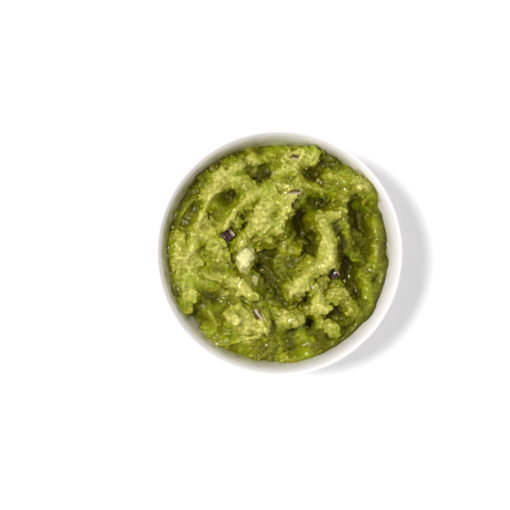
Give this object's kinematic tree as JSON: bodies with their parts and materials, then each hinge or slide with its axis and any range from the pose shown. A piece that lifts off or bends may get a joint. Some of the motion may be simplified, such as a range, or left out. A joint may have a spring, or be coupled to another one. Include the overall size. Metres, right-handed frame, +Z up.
{
  "type": "guacamole in a small round bowl",
  "caption": "Chunky avocado dip heaped in spoon folds in a small round white porcelain bowl, with chunks of avocado and diced red onion, ready to serve.",
  "frame": {"origin": "middle of the bowl's foot, on the surface that the bowl stands on", "axes": "+Z up, out of the bowl's mouth; the heap's edge reaches the lip between +X and +Y and lies lowest between -X and -Y"},
  "size_m": [0.12, 0.12, 0.0468],
  "materials": {
    "porcelain": "gloss",
    "guacamole": "satin",
    "avocado": "satin",
    "red_onion": "satin"
  },
  "bodies": {
    "root": {"bowl": "porcelain", "guacamole": "guacamole", "avocado_chunk_1": "avocado", "avocado_chunk_2": "avocado", "avocado_chunk_3": "avocado", "avocado_chunk_4": "avocado", "avocado_chunk_5": "avocado", "avocado_chunk_6": "avocado", "avocado_chunk_7": "avocado", "onion_piece_1": "red_onion", "onion_piece_2": "red_onion", "onion_piece_3": "red_onion", "onion_piece_4": "red_onion", "onion_piece_5": "red_onion", "onion_piece_6": "red_onion", "onion_piece_7": "red_onion"}
  },
  "joints": []
}
